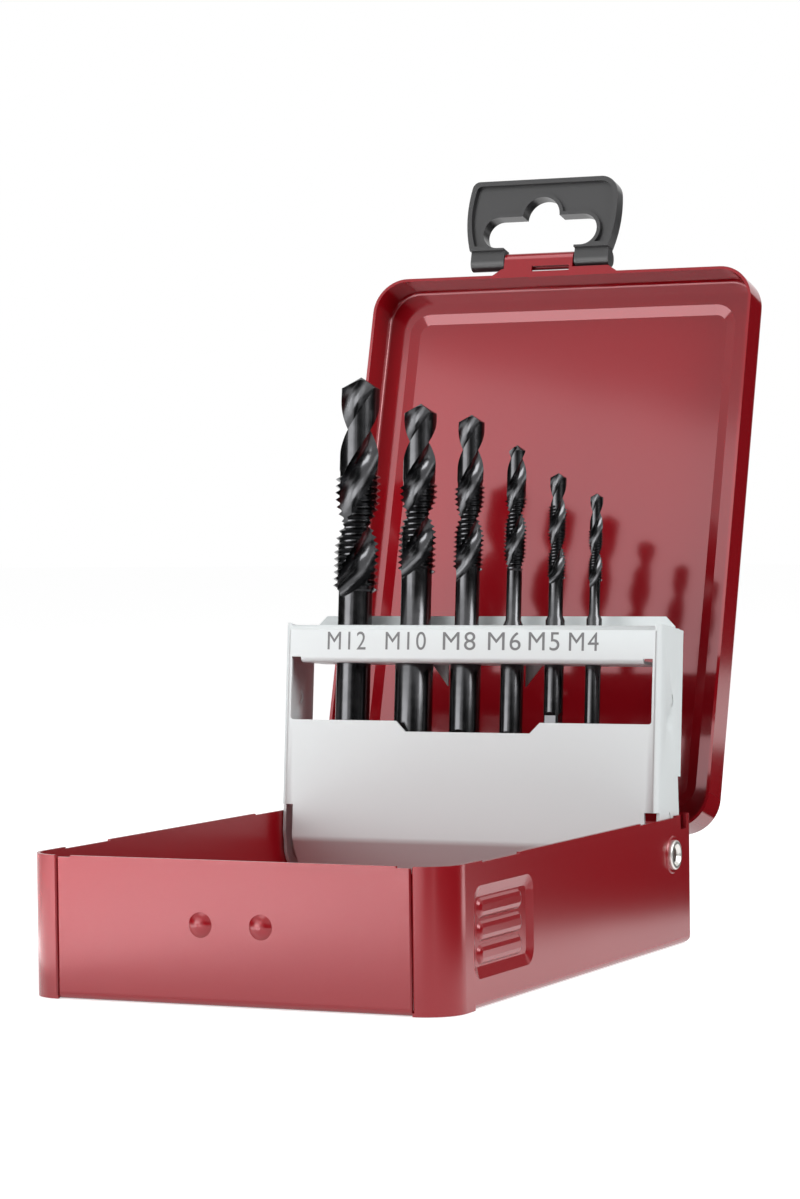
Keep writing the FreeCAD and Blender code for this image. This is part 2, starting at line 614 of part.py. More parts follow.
def hanger():
    slab = hanger_slab(0, -HANGER_BACK, HANGER_FRONT)
    face = hanger_slab(HANGER_RIM, HANGER_FRONT - HANGER_RECESS, HANGER_FRONT + CUT_PAST)
    core = hanger_slab(HANGER_RIM, -HANGER_BACK - CUT_PAST, HANGER_CORE - HANGER_BACK)
    keep = hanger_slot(RIDGE, -HANGER_BACK - CUT_PAST, HANGER_FRONT + CUT_PAST)
    slab = slab.cut([face.cut(keep), core.cut(keep)])
    gate = box(-BARREL_SPACING / 2, BARREL_SPACING / 2, 0, SLOT_LOW + CUT_PAST,
               -HANGER_BACK, HANGER_FRONT)
    slab = slab.cut([hanger_slot(0, -HANGER_BACK, HANGER_FRONT), gate])
    barrel = hanger_barrel()
    whole = slab.fuse([barrel, mirrored(barrel)]).removeSplitter()
    unfolded = moved(turned(whole, X_AXIS, 180), HANGER_X, CURL_Y, CURL_Z)
    return open_lid(unfolded)


# ---------------------------------------------------------------- holder
def holder_channel():
    """Panel and both flanges bent from one sheet, before any opening is cut."""
    depth = HOLDER_REAR + HOLDER_BEND
    low = -EAR_RADIUS
    high = HOLDER_TOP + FLANGE_FALL
    outer = rounded_block(HOLDER_HALF, PANEL_FACE, depth, HOLDER_BEND, HOLDER_BEND, low, high)
    inner_bend = HOLDER_BEND - SHEET
    inner = rounded_block(HOLDER_INNER, PANEL_BACK, depth, inner_bend, inner_bend, low, high)
    return outer.cut([inner, box(-HOLDER_HALF, HOLDER_HALF, HOLDER_REAR, depth, low, high)])


def flange_profile():
    """Side view of both flanges: straight top, stepped rear edge and round ear."""
    step = HOLDER_REAR - FLANGE_STEP
    hip = HOLDER_REAR - FLANGE_HIP
    ear = EAR_RADIUS
    plate = side_plate([
        (PANEL_FACE, HOLDER_TOP + FLANGE_FALL), (PANEL_FACE, PANEL_NOTCH_Z),
        (-ear, 0), (ear, 0), (hip, FLANGE_HIP_Z), (step, FLANGE_STEP_Z),
        (HOLDER_REAR, FLANGE_STEP_Z), (HOLDER_REAR, HOLDER_TOP - FLANGE_FALL),
    ], -HOLDER_HALF, HOLDER_HALF)
    return plate.fuse(rod(ear, -HOLDER_HALF, HOLDER_HALF))


def panel_trim():
    """Everything cut from the panel: its ends, its lower corners and the window."""
    low = -EAR_RADIUS
    high = HOLDER_TOP + FLANGE_FALL
    back = PANEL_FACE + HOLDER_BEND
    notch = HOLDER_HALF - PANEL_NOTCH_WIDTH
    over = HOLDER_HALF - HOLDER_BEND
    window = HOLDER_HALF - WINDOW_SIDE
    dip = WINDOW_DIP_HALF
    dip_top = WINDOW_DIP_HALF + WINDOW_DIP
    dip_z = WINDOW_BOTTOM - WINDOW_DIP
    top = WINDOW_TOP + SHELF_BEND
    opening = front_plate([
        (-window, top), (-window, WINDOW_BOTTOM), (-dip_top, WINDOW_BOTTOM), (-dip, dip_z),
        (dip, dip_z), (dip_top, WINDOW_BOTTOM), (window, WINDOW_BOTTOM), (window, top),
    ], PANEL_FACE, back)
    ends = [edge for edge in opening.Edges
            if all(abs(abs(v.Point.x) - window) < FLAT_GAP and v.Point.z < top for v in edge.Vertexes)]
    opening = opening.makeFillet(WINDOW_CORNER, ends)
    return [
        box(-notch, notch, PANEL_FACE, back, low, PANEL_NOTCH_Z),
        box(-HOLDER_HALF, HOLDER_HALF, PANEL_FACE, back, low, PANEL_NOTCH_Z),
        box(-over, over, PANEL_FACE, back, HOLDER_TOP - SHELF_BEND, high),
        opening,
    ]


def lower_panel():
    """The part of the panel between the two lower notches, down to the apron."""
    return box(-APRON_HALF, APRON_HALF, PANEL_FACE, PANEL_BACK, PANEL_LOW, PANEL_NOTCH_Z)


def apron():
    """Soft bend under the panel and the short strip that follows it."""
    centre_y = PANEL_FACE + APRON_BEND
    bend = rolled_sheet(APRON_BEND - SHEET, APRON_BEND, 180, APRON_SWEEP, -APRON_HALF, APRON_HALF,
                        centre_y, PANEL_LOW)
    corner = APRON_CORNER
    strip = rounded_block(APRON_HALF, -APRON_LENGTH, corner, corner, corner, 0, SHEET)
    strip = strip.common(box(-APRON_HALF, APRON_HALF, -APRON_LENGTH, 0, 0, SHEET))
    strip = moved(turned(strip, X_AXIS, -90), 0, -APRON_BEND)
    return [bend, moved(turned(strip, X_AXIS, APRON_SWEEP), 0, centre_y, PANEL_LOW)]


def bent_shelf(half, z, bend_z, sweep, rear):
    """Level strip that starts with a bend out of the panel."""
    centre_y = PANEL_FACE + SHELF_BEND
    bend = rolled_sheet(SHELF_BEND - SHEET, SHELF_BEND, 180, sweep, -half, half, centre_y, bend_z)
    return [bend, box(-half, half, centre_y, rear, z, z + SHEET)]


def top_shelf():
    """Shelf bent back from the panel's top, with an upstand along its rear edge."""
    z = HOLDER_TOP - SHEET
    crest = HOLDER_TOP + LIP_HEIGHT
    shoulder = crest - LIP_BEVEL
    lip = front_plate([
        (-LIP_HALF, z), (-LIP_HALF, shoulder), (LIP_BEVEL - LIP_HALF, crest),
        (LIP_HALF - LIP_BEVEL, crest), (LIP_HALF, shoulder), (LIP_HALF, z),
    ], HOLDER_REAR - SHEET, HOLDER_REAR)
    return bent_shelf(SHELF_HALF, z, HOLDER_TOP - SHELF_BEND, -90, HOLDER_REAR) + [lip]


def lower_shelf():
    """Flap bent back from the window's upper edge, with two gussets lanced down from it."""
    gusset = front_plate([
        (GUSSET_X, WINDOW_TOP), (GUSSET_X, WINDOW_TOP - GUSSET_HEIGHT),
        (GUSSET_X + GUSSET_WIDTH, WINDOW_TOP),
    ], GUSSET_Y, GUSSET_Y + SHEET)
    flap = bent_shelf(FLAP_HALF, WINDOW_TOP, WINDOW_TOP + SHELF_BEND, 90, HOLDER_REAR - FLAP_INSET)
    return flap + [gusset, mirrored(gusset)]


def bit_x(sizes):
    return sizes["left"] - HOLDER_HALF


def bit_holes():
    """Holes in line through both shelves."""
    holes = []
    for sizes in BIT_SIZES.values():
        low = FreeCAD.Vector(bit_x(sizes), BIT_ROW_Y, WINDOW_TOP - SHEET)
        height = HOLDER_TOP - WINDOW_TOP + 2 * SHEET
        holes.append(Part.makeCylinder(sizes["shank"] / 2 + SHELF_HOLE_GAP, height, low))
    return holes


def flange_slits():
    """Short curved slits through both flanges."""
    slits = []
    for z in SLIT_HEIGHTS:
        slits.append(rolled_sheet(SLIT_RADIUS - SLIT_WIDTH, SLIT_RADIUS, -SLIT_SWEEP / 2, SLIT_SWEEP,
                                  -HOLDER_HALF, HOLDER_HALF, DIMPLE_Y, z))
    return slits


def flange_dimple(x):
    """Cap on the right flange, pressed towards the middle, with its rim at the given x."""
    return moved(turned(dome(DIMPLE_RADIUS, DIMPLE_RISE), Y_AXIS, -90), x, DIMPLE_Y, DIMPLE_Z)


def holder_frame():
    frame = holder_channel().common(flange_profile()).cut(panel_trim())
    frame = frame.fuse([lower_panel()] + apron() + top_shelf() + lower_shelf())
    inner = flange_dimple(HOLDER_INNER)
    frame = frame.fuse([inner, mirrored(inner)])
    outer = flange_dimple(HOLDER_HALF)
    pivot = rod(EYELET_RADIUS + RUNNING_GAP, -HOLDER_HALF, HOLDER_HALF)
    frame = frame.cut([outer, mirrored(outer), pivot] + bit_holes() + flange_slits())
    return stand_holder(frame.removeSplitter())


def bit_rest():
    """Bracket behind the panel with a ledge bent back under each bit."""
    rear = PANEL_BACK + SHEET
    lowest = min(sizes["foot"] for sizes in BIT_SIZES.values())
    strip_top = lowest - SHEET
    strip_low = strip_top - REST_STRIP
    pieces = []
    for sizes in BIT_SIZES.values():
        half = sizes["shank"] / 2
        left = bit_x(sizes) - half
        right = bit_x(sizes) + half
        pieces.append(box(left, right, PANEL_BACK, rear, strip_low, sizes["foot"]))
        pieces.append(box(left, right, rear, BIT_ROW_Y + half, sizes["foot"] - SHEET, sizes["foot"]))
    ends = [bit_x(sizes) for sizes in BIT_SIZES.values()]
    strip = box(min(ends), max(ends), PANEL_BACK, rear, strip_low, strip_top)
    return stand_holder(strip.fuse(pieces).removeSplitter())


# ---------------------------------------------------------------- bits
def bit_blank(sizes):
    """Turned body of a bit, foot on the XY plane and point upwards."""
    length = sizes["length"]
    drill = sizes["drill"] / 2
    thread = sizes["thread"] / 2
    neck = sizes["neck"] / 2
    shank = sizes["shank"] / 2
    point = drill / math.tan(math.radians(BIT_POINT_HALF_ANGLE))
    thread_low = length - sizes["thread_to"]
    thread_high = length - sizes["thread_from"]
    outline = [(0, 0), (shank - BIT_CHAMFER, 0), (shank, BIT_CHAMFER)]
    if shank > neck:
        shank_high = length - sizes["shank_from"]
        outline.append((shank, shank_high))
        outline.append((neck, shank_high + BIT_CONE * (shank - neck)))
    outline += [
        (neck, thread_low - (thread - neck)), (thread, thread_low),
        (thread, thread_high - BIT_CONE * (thread - drill)), (drill, thread_high),
        (drill, length - point), (0, length),
    ]
    face = polygon_face([FreeCAD.Vector(radius, 0, z) for radius, z in outline])
    return face.revolve(ORIGIN, Z_AXIS, 360)


def flute_tool(mouth_radius, web, lead, length):
    """What one flute takes away: a trapezoid twisted right-handed along Z, along +X at its foot."""
    mouth = math.radians(90 - BIT_LAND / 2)
    root = web * math.tan(math.radians(FLUTE_ROOT / 2))
    far_x = web + FLUTE_REACH * (mouth_radius * math.cos(mouth) - web)
    far_y = root + FLUTE_REACH * (mouth_radius * math.sin(mouth) - root)
    corners = [(web, -root), (far_x, -far_y), (far_x, far_y), (web, root), (web, -root)]
    outline = Part.makePolygon([FreeCAD.Vector(x, y, 0) for x, y in corners])
    spine = Part.Wire(Part.makeLine(ORIGIN, FreeCAD.Vector(0, 0, length)))
    twist = Part.Wire(Part.makeHelix(lead, length, mouth_radius).Edges)
    sweep = Part.BRepOffsetAPI.MakePipeShell(spine)
    sweep.setAuxiliarySpine(twist, True, 0)
    sweep.add(outline)
    sweep.build()
    sweep.makeSolid()
    return sweep.shape()


def flute_voids(sizes):
    """Both flutes, running out in a cone towards the neck."""
    web = BIT_WEB * sizes["drill"] / 2
    neck = sizes["neck"] / 2
    neck_z = sizes["length"] - sizes["flutes_to"]
    foot_z = neck_z - CUT_PAST
    tool = flute_tool(sizes["thread"] / 2, web, sizes["lead"], sizes["flutes_to"] + 2 * CUT_PAST)
    turns = (sizes["flutes_to"] + CUT_PAST - sizes["facing"]) / sizes["lead"]
    run_out = Part.makeCone(neck + CUT_PAST / BIT_CONE, web, CUT_PAST + BIT_CONE * (neck - web),
                            FreeCAD.Vector(0, 0, foot_z))
    voids = []
    for look in (FLUTE_LOOK, FLUTE_LOOK + 180):
        flute = moved(turned(tool, Z_AXIS, look - 360 * turns), 0, 0, foot_z)
        voids.append(flute.cut(run_out))
    return voids


def tang_waste(sizes):
    """What is milled off the foot to leave the driving square."""
    radius = sizes["shank"] / 2
    flat = radius * BIT_FLAT
    foot = Part.makeCylinder(radius * 2, sizes["tang"])
    return foot.cut(box(-flat, flat, -flat, flat, 0, sizes["tang"]))


def combination_bit(sizes):
    """Drill and tap in one: the drill leads, the tap follows, then neck, shank and square."""
    bit = bit_blank(sizes).cut(flute_voids(sizes) + [tang_waste(sizes)])
    return stand_holder(moved(bit, bit_x(sizes), BIT_ROW_Y, sizes["foot"]))


# ---------------------------------------------------------------- the case, piece by piece
right_eyelet = hinge_eyelet()
pieces = {
    "tray_shell": tray_shell(),
    "hinge_pin": hinge_pin(),
    "hinge_eyelet_left": mirrored(right_eyelet),
    "hinge_eyelet_right": right_eyelet,
    "lid_shell": lid_shell(),
    "hanger": hanger(),
    "holder_frame": holder_frame(),
    "bit_rest": bit_rest(),
}
for bit_name, bit_sizes in BIT_SIZES.items():
    pieces[bit_name] = combination_bit(bit_sizes)

os.makedirs("parts", exist_ok=True)
for name, shape in pieces.items():
    shape.exportStep("parts/" + name + ".step")
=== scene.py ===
import json
import math

import bpy
from mathutils import Euler, Matrix, Vector


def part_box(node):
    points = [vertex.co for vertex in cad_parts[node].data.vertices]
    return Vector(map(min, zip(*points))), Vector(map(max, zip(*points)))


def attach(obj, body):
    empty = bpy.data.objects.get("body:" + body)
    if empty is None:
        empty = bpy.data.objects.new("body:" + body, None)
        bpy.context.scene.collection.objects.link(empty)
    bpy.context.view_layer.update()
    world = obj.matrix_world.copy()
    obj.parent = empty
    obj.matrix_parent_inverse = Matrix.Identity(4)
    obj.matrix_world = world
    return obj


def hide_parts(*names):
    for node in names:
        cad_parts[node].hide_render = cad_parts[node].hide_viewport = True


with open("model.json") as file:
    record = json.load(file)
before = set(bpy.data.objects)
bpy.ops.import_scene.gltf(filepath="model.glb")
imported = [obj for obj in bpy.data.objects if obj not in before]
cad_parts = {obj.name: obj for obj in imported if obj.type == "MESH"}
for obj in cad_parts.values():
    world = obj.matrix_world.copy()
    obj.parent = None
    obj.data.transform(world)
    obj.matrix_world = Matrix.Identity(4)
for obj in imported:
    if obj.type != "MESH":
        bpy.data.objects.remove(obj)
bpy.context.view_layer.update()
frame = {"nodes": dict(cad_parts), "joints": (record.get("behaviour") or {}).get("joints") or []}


# ---------------------------------------------------------------- camera
# A long lens stands low in front of the case and to its right, nearly level with the tray's
# rim, so that the tray's front and right side and the inside of the open lid all show.
lens_mm = 109.33
camera_place = Vector((0.37804, -0.79739, 0.11065))
camera_turn = math.radians(24.918)
camera_dip = math.radians(1.38)
camera_roll = math.radians(-0.683)
camera = bpy.data.objects.new("camera", bpy.data.cameras.new("camera"))
bpy.context.scene.collection.objects.link(camera)
camera.data.lens = lens_mm
camera.location = camera_place
level_view = Euler((math.pi / 2 - camera_dip, 0, camera_turn)).to_matrix()
camera.rotation_euler = (level_view @ Matrix.Rotation(camera_roll, 3, "Z")).to_euler()
bpy.context.scene.camera = camera


# ---------------------------------------------------------------- floor and room
# A white sweep runs out level under the case, in a bright white room. Both look plain white
# where they are seen or mirrored, and the sweep keeps the case's shadow.
bpy.context.scene.view_settings.view_transform = "Standard"
white = (1, 1, 1, 1)
sweep_white = (0.8, 0.8, 0.8, 1)
sweep_size = 12
sweep_drop = 0.0002          # just under the tray
sweep_roughness = 0.9
sweep_glow = 0.70            # where the sweep is seen or mirrored
room_glow = 1.0              # where the room is seen or mirrored
room_brightness = 0.36       # what the room adds to the light


def deselect_all():
    bpy.ops.object.select_all(action="DESELECT")


def new_material(name):
    material = bpy.data.materials.new(name)
    material.use_nodes = True
    nodes = material.node_tree.nodes
    return material, nodes, material.node_tree.links, nodes["Principled BSDF"]


def joined_rays(nodes, links, first, second):
    """1 where either kind of ray meets the surface, otherwise 0."""
    either = nodes.new("ShaderNodeMath")
    either.operation = "ADD"
    either.use_clamp = True
    links.new(first, either.inputs[0])
    links.new(second, either.inputs[1])
    return either.outputs[0]


def seen_directly(nodes, links):
    """1 where a camera, mirror or clear-glass ray meets the surface, otherwise 0."""
    rays = nodes.new("ShaderNodeLightPath").outputs
    seen = joined_rays(nodes, links, rays["Is Camera Ray"], rays["Is Glossy Ray"])
    return joined_rays(nodes, links, seen, rays["Is Transmission Ray"])


deselect_all()
bpy.ops.mesh.primitive_plane_add(size=sweep_size, location=(0, 0, -sweep_drop))
floor = bpy.context.object
floor.name = "floor"
floor_paint, nodes, links, shader = new_material("white_sweep")
shader.inputs["Base Color"].default_value = sweep_white
shader.inputs["Roughness"].default_value = sweep_roughness
shader.inputs["Specular IOR Level"].default_value = 0.0
shader.inputs["Emission Color"].default_value = white
glow = nodes.new("ShaderNodeMath")
glow.operation = "MULTIPLY"
glow.inputs[1].default_value = sweep_glow
links.new(seen_directly(nodes, links), glow.inputs[0])
links.new(glow.outputs[0], shader.inputs["Emission Strength"])
floor.data.materials.append(floor_paint)

world = bpy.data.worlds.new("studio")
bpy.context.scene.world = world
world.use_nodes = True
nodes = world.node_tree.nodes
links = world.node_tree.links
room_light = nodes["Background"]
room_light.inputs["Color"].default_value = white
room_light.inputs["Strength"].default_value = room_brightness
room_seen = nodes.new("ShaderNodeBackground")
room_seen.inputs["Color"].default_value = white
room_seen.inputs["Strength"].default_value = room_glow
choose = nodes.new("ShaderNodeMixShader")
links.new(seen_directly(nodes, links), choose.inputs["Fac"])
links.new(room_light.outputs[0], choose.inputs[1])
links.new(room_seen.outputs[0], choose.inputs[2])
links.new(choose.outputs[0], nodes["World Output"].inputs["Surface"])


# ---------------------------------------------------------------- lamps and black cards
# Two soft boxes stand in front on the left, one hangs above and one high on the right. A
# small lamp washes the floor, and two boxes that lie on it shine up. Black cards, upright and
# lying, keep the red enamel and the blackened steel deep.
case_middle = (0, 0, 0.06)
wash_spread = math.radians(32)
card_black = (0.02, 0.02, 0.02, 1)
card_lift = 0.001            # a lying card over the floor


def soft_box(name, place, width, height, brightness):
    """Rectangular lamp; its brightness is 1 where it would look just white."""
    lamp = bpy.data.lights.new(name, "AREA")
    lamp.shape = "RECTANGLE"
    lamp.size = width
    lamp.size_y = height
    lamp.energy = brightness * math.pi * width * height
    stand = bpy.data.objects.new(name, lamp)
    stand.location = place
    bpy.context.scene.collection.objects.link(stand)
    return stand


def aimed_box(name, place, aim, width, height, brightness):
    """Soft box turned towards a point."""
    stand = soft_box(name, place, width, height, brightness)
    look = Vector(aim) - Vector(place)
    stand.rotation_euler = look.to_track_quat("-Z", "Y").to_euler()
    return stand


def lying_box(name, place, turn_degrees, width, height, brightness):
    """Soft box that lies on the floor and shines up."""
    stand = soft_box(name, place, width, height, brightness)
    stand.rotation_euler = (math.pi, 0, math.radians(turn_degrees))


aimed_box("front_low_box", (-0.62, -1.0, 0.16), case_middle, width=0.8, height=0.42, brightness=4.4)
aimed_box("front_high_box", (-0.55, -1.05, 0.62), case_middle, width=1.0, height=0.5, brightness=1.8)
aimed_box("overhead_box", (-0.15, -0.25, 0.85), case_middle, width=0.6, height=0.5, brightness=2.2)
aimed_box("right_high_box", (0.95, -0.15, 0.65), case_middle, width=0.7, height=0.6, brightness=8.0)
floor_wash = aimed_box("floor_wash", (-0.12, -0.30, 0.40), (-0.1, -0.24, 0),
                       width=0.15, height=0.15, brightness=4.0)
floor_wash.data.spread = wash_spread
lying_box("corner_box", (0.267, 0.221, 0.004), -36, width=0.04, height=0.48, brightness=4.0)
lying_box("floor_box", (-0.175, -0.39, 0.004), 31.2, width=0.5, height=0.57, brightness=1.8)

card_paint, nodes, links, shader = new_material("black_card")
shader.inputs["Base Color"].default_value = card_black
shader.inputs["Roughness"].default_value = 1.0
shader.inputs["Specular IOR Level"].default_value = 0.0


def black_card(name, corners):
    """Card whose corners go round, seen only in the case's own surfaces."""
    deselect_all()
    bpy.ops.mesh.primitive_circle_add(vertices=len(corners), fill_type="NGON")
    card = bpy.context.object
    card.name = name
    for vertex, corner in zip(card.data.vertices, corners):
        vertex.co = corner
    card.data.materials.append(card_paint)
    card.visible_camera = False


def upright_card(name, start, end, height):
    """Card that stands between two places on the floor."""
    black_card(name, [(*start, 0), (*end, 0), (*end, height), (*start, height)])


def lying_card(name, corners):
    black_card(name, [(*corner, card_lift) for corner in corners])


upright_card("card_behind_camera", (0.2, -1.25), (1.1, -1.25), height=0.6)
upright_card("card_right", (1.1, -1.25), (1.1, 1.2), height=0.45)
upright_card("card_back_right", (1.0, 1.6), (0.35, 1.6), height=0.5)
upright_card("card_left", (-1.15, -0.9), (-1.15, 1.0), height=0.45)
lying_card("card_right_floor", [(0.187, -0.2), (0.9, -1.1), (1.0, 1.3), (-0.043, 0.5)])
lying_card("card_under_camera", [(0.092, -0.325), (0.2, -0.268), (0.9, -1.12), (0.3, -1.2)])


# ---------------------------------------------------------------- tray and lid
# Both are drawn from thin steel sheet and sprayed ruby red. The enamel is glossy with a faint
# orange peel, and it pools a little unevenly, so its depth drifts over the large faces. Fine
# flake in it tints what it mirrors.
mm = 0.001
ruby = (0.24, 0.004, 0.008)
deep_ruby = (0.215, 0.003, 0.007)
flake_tint = (1.0, 0.60, 0.63)
ruby_shine = 0.9
ruby_peel = 2 * mm
ruby_peel_depth = 0.0015 * mm
drift_scale = 14             # patches to the metre, where the colour drifts
wave_scale = 32              # waves to the metre in the sheet
wave_depth = 0.06 * mm
haze_range = (0.9, 1.15)     # of the roughness


def noise(nodes, links, scale, detail):
    """Random pattern that is fixed to the piece."""
    place = nodes.new("ShaderNodeTexCoord")
    pattern = nodes.new("ShaderNodeTexNoise")
    pattern.inputs["Scale"].default_value = scale
    pattern.inputs["Detail"].default_value = detail
    links.new(place.outputs["Object"], pattern.inputs["Vector"])
    return pattern.outputs["Fac"]


def mixed_colour(nodes, links, pattern, first, second):
    """Colour that drifts from the first to the second with a pattern."""
    blend = nodes.new("ShaderNodeMix")
    blend.data_type = "RGBA"
    blend.inputs[6].default_value = (*first, 1)
    blend.inputs[7].default_value = (*second, 1)
    links.new(pattern, blend.inputs[0])
    return blend.outputs[2]


def mixed_value(nodes, links, pattern, low, high):
    """Value that drifts from low to high with a pattern."""
    spread = nodes.new("ShaderNodeMapRange")
    spread.inputs["To Min"].default_value = low
    spread.inputs["To Max"].default_value = high
    links.new(pattern, spread.inputs["Value"])
    return spread.outputs["Result"]


def relief(nodes, links, pattern, depth, strength=1.0, under=None):
    """Unevenness of a surface, added to what lies under it."""
    bump = nodes.new("ShaderNodeBump")
    bump.inputs["Strength"].default_value = strength
    bump.inputs["Distance"].default_value = depth
    links.new(pattern, bump.inputs["Height"])
    if under is not None:
        links.new(under, bump.inputs["Normal"])
    return bump.outputs["Normal"]


def enamel(name, colour, deep_colour, roughness, shine, tint, peel, peel_depth):
    material, nodes, links, shader = new_material(name)
    drift = noise(nodes, links, drift_scale, detail=3)
    colours = mixed_colour(nodes, links, drift, colour, deep_colour)
    haze = mixed_value(nodes, links, drift, *(share * roughness for share in haze_range))
    waves = relief(nodes, links, noise(nodes, links, wave_scale, detail=0), wave_depth)
    skin = relief(nodes, links, noise(nodes, links, 1 / peel, detail=1), peel_depth, under=waves)
    links.new(colours, shader.inputs["Base Color"])
    links.new(haze, shader.inputs["Roughness"])
    links.new(skin, shader.inputs["Normal"])
    shader.inputs["Specular IOR Level"].default_value = shine
    shader.inputs["Specular Tint"].default_value = (*tint, 1)
    return material


def dress(node, material):
    piece = frame["nodes"][node]
    piece.data.materials.clear()
    piece.data.materials.append(material)


dress("tray_shell", enamel("ruby_tray_enamel", ruby, deep_ruby, roughness=0.23, shine=ruby_shine,
                           tint=flake_tint, peel=ruby_peel, peel_depth=ruby_peel_depth))
dress("lid_shell", enamel("ruby_lid_enamel", ruby, deep_ruby, roughness=0.09, shine=ruby_shine,
                          tint=flake_tint, peel=ruby_peel, peel_depth=ruby_peel_depth))


# ---------------------------------------------------------------- holder
# The holder and the bracket behind its panel are bent from one steel sheet, in a satin light
# grey powder enamel with a grain just fine enough to blur what it reflects. The panel's foot
# ends in a soft bend and a short apron that runs down and back.
light_grey = (0.655, 0.69, 0.695)
deep_grey = (0.63, 0.665, 0.67)
no_tint = (1.0, 1.0, 1.0)
holder_enamel = enamel("light_grey_enamel", light_grey, deep_grey, roughness=0.38, shine=0.3,
                       tint=no_tint, peel=0.6 * mm, peel_depth=0.003 * mm)
dress("bit_rest", holder_enamel)

joints = {joint["name"]: joint for joint in frame["joints"]}
pivot = Vector(joints["holder_hinge"]["pos_m"])
bit_axis = Vector(joints["bit_m12_slide"]["axis"]).normalized()
holder_lean = math.atan2(bit_axis.y, bit_axis.z)
lean_back = Matrix.Translation(pivot) @ Matrix.Rotation(-holder_lean, 4, "X")
panel_ahead = 9.0 * mm       # the panel's face ahead of the pivot
sheet_steel = 0.8 * mm
panel_notch = 3.5 * mm       # cut from each side of the panel's foot
apron_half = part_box("holder_frame")[1].x - panel_notch
apron_bend = 3.0 * mm
apron_bend_z = 2.2 * mm      # the bend's start over the pivot
apron_sweep = math.radians(32)
apron_length = 9.0 * mm
apron_corner = 3.0 * mm
apron_bend_steps = 8
corner_steps = 6
cut_z = 5 * mm               # the panel is cut off here, over its bend
cut_side = 0.6 * mm          # beside the apron
cut_rear = 5 * mm            # ahead of the pivot, behind the bend
old_strip_top = 20 * mm      # past the upper end of the strip that is cut away
clear_ahead = 30 * mm
clear_below = 20 * mm
merge_gap = 1e-7
crease = math.radians(28)    # sharper turns keep their edge


def finish_mesh():
    """Merged doubles and outward normals, with the mesh open in edit mode."""
    bpy.ops.mesh.select_all(action="SELECT")
    bpy.ops.mesh.remove_doubles(threshold=merge_gap)
    bpy.ops.mesh.normals_make_consistent(inside=False)
    bpy.ops.object.mode_set(mode="OBJECT")


def select_only(*pieces):
    """Selects the pieces, with the last one active."""
    deselect_all()
    for piece in pieces:
        piece.select_set(True)
    bpy.context.view_layer.objects.active = pieces[-1]


def trimmed(piece, tool, operation):
    trim = piece.modifiers.new("trim", "BOOLEAN")
    trim.operation = operation
    trim.solver = "EXACT"
    trim.object = tool
    bpy.context.view_layer.objects.active = piece
    bpy.ops.object.modifier_apply(modifier=trim.name)


def discard(*pieces):
    for piece in pieces:
        bpy.data.objects.remove(piece, do_unlink=True)


def cutting_block(low, high):
    """Block between two corners, which are given from the pivot and lean with the holder."""
    deselect_all()
    bpy.ops.mesh.primitive_cube_add(size=1)
    block = bpy.context.object
    size = Vector(high) - Vector(low)
    block.data.transform(lean_back @ Matrix.Translation((Vector(low) + Vector(high)) / 2)
                         @ Matrix.Diagonal((*size, 1)))
    return block


channel = bpy.data.objects.new("holder_channel", frame["nodes"]["holder_frame"].data.copy())
bpy.context.scene.collection.objects.link(channel)
select_only(channel)
bpy.ops.object.mode_set(mode="EDIT")
finish_mesh()
# The copied solid's apron runs up and forward, so it goes, and a new one is bent below.
cut_half = apron_half + cut_side
foot_and_bend = ((-cut_half, -clear_ahead, -clear_below), (cut_half, -cut_rear, cut_z))
old_strip = ((-cut_half, -clear_ahead, 0), (cut_half, -panel_ahead, old_strip_top))
for low, high in (foot_and_bend, old_strip):
    block = cutting_block(low, high)
    trimmed(channel, block, "DIFFERENCE")
    discard(block)

deselect_all()
bpy.ops.mesh.primitive_plane_add(size=1)
apron = bpy.context.object
apron.name = "apron"
corners = ((-apron_half, cut_z), (apron_half, cut_z),
           (-apron_half, apron_bend_z), (apron_half, apron_bend_z))
for vertex, (x, z) in zip(apron.data.vertices, corners):
    vertex.co = (x, -panel_ahead, z)
bpy.ops.object.mode_set(mode="EDIT")
bpy.ops.mesh.select_mode(type="VERT")
bpy.ops.mesh.select_all(action="DESELECT")
bpy.ops.object.mode_set(mode="OBJECT")
for vertex in apron.data.vertices:
    vertex.select = vertex.co.z < (cut_z + apron_bend_z) / 2
bpy.ops.object.mode_set(mode="EDIT")
bpy.ops.mesh.select_mode(type="EDGE")
for step in range(apron_bend_steps):
    turn = apron_sweep * (step + 1) / apron_bend_steps
    last = apron_sweep * step / apron_bend_steps
    down = -apron_bend * (math.sin(turn) - math.sin(last))
    back = apron_bend * (math.cos(last) - math.cos(turn))
    bpy.ops.mesh.extrude_edges_move(TRANSFORM_OT_translate={"value": (0, back, down)})
strip = (0, apron_length * math.sin(apron_sweep), -apron_length * math.cos(apron_sweep))
bpy.ops.mesh.extrude_edges_move(TRANSFORM_OT_translate={"value": strip})
bpy.ops.mesh.select_mode(type="VERT")
bpy.ops.mesh.bevel(affect="VERTICES", offset=apron_corner, segments=corner_steps)
finish_mesh()
apron.data.transform(lean_back)
thickness = apron.modifiers.new("sheet", "SOLIDIFY")
thickness.thickness = sheet_steel
ahead = lean_back.to_3x3() @ Vector((0, -1, 0))
thickness.offset = -1 if apron.data.polygons[0].normal.dot(ahead) > 0 else 1
bpy.ops.object.modifier_apply(modifier=thickness.name)
select_only(apron, channel)
bpy.ops.object.join()
channel.data.materials.clear()
channel.data.materials.append(holder_enamel)
bpy.ops.object.shade_smooth_by_angle(angle=crease)
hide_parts("holder_frame")
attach(channel, "holder")


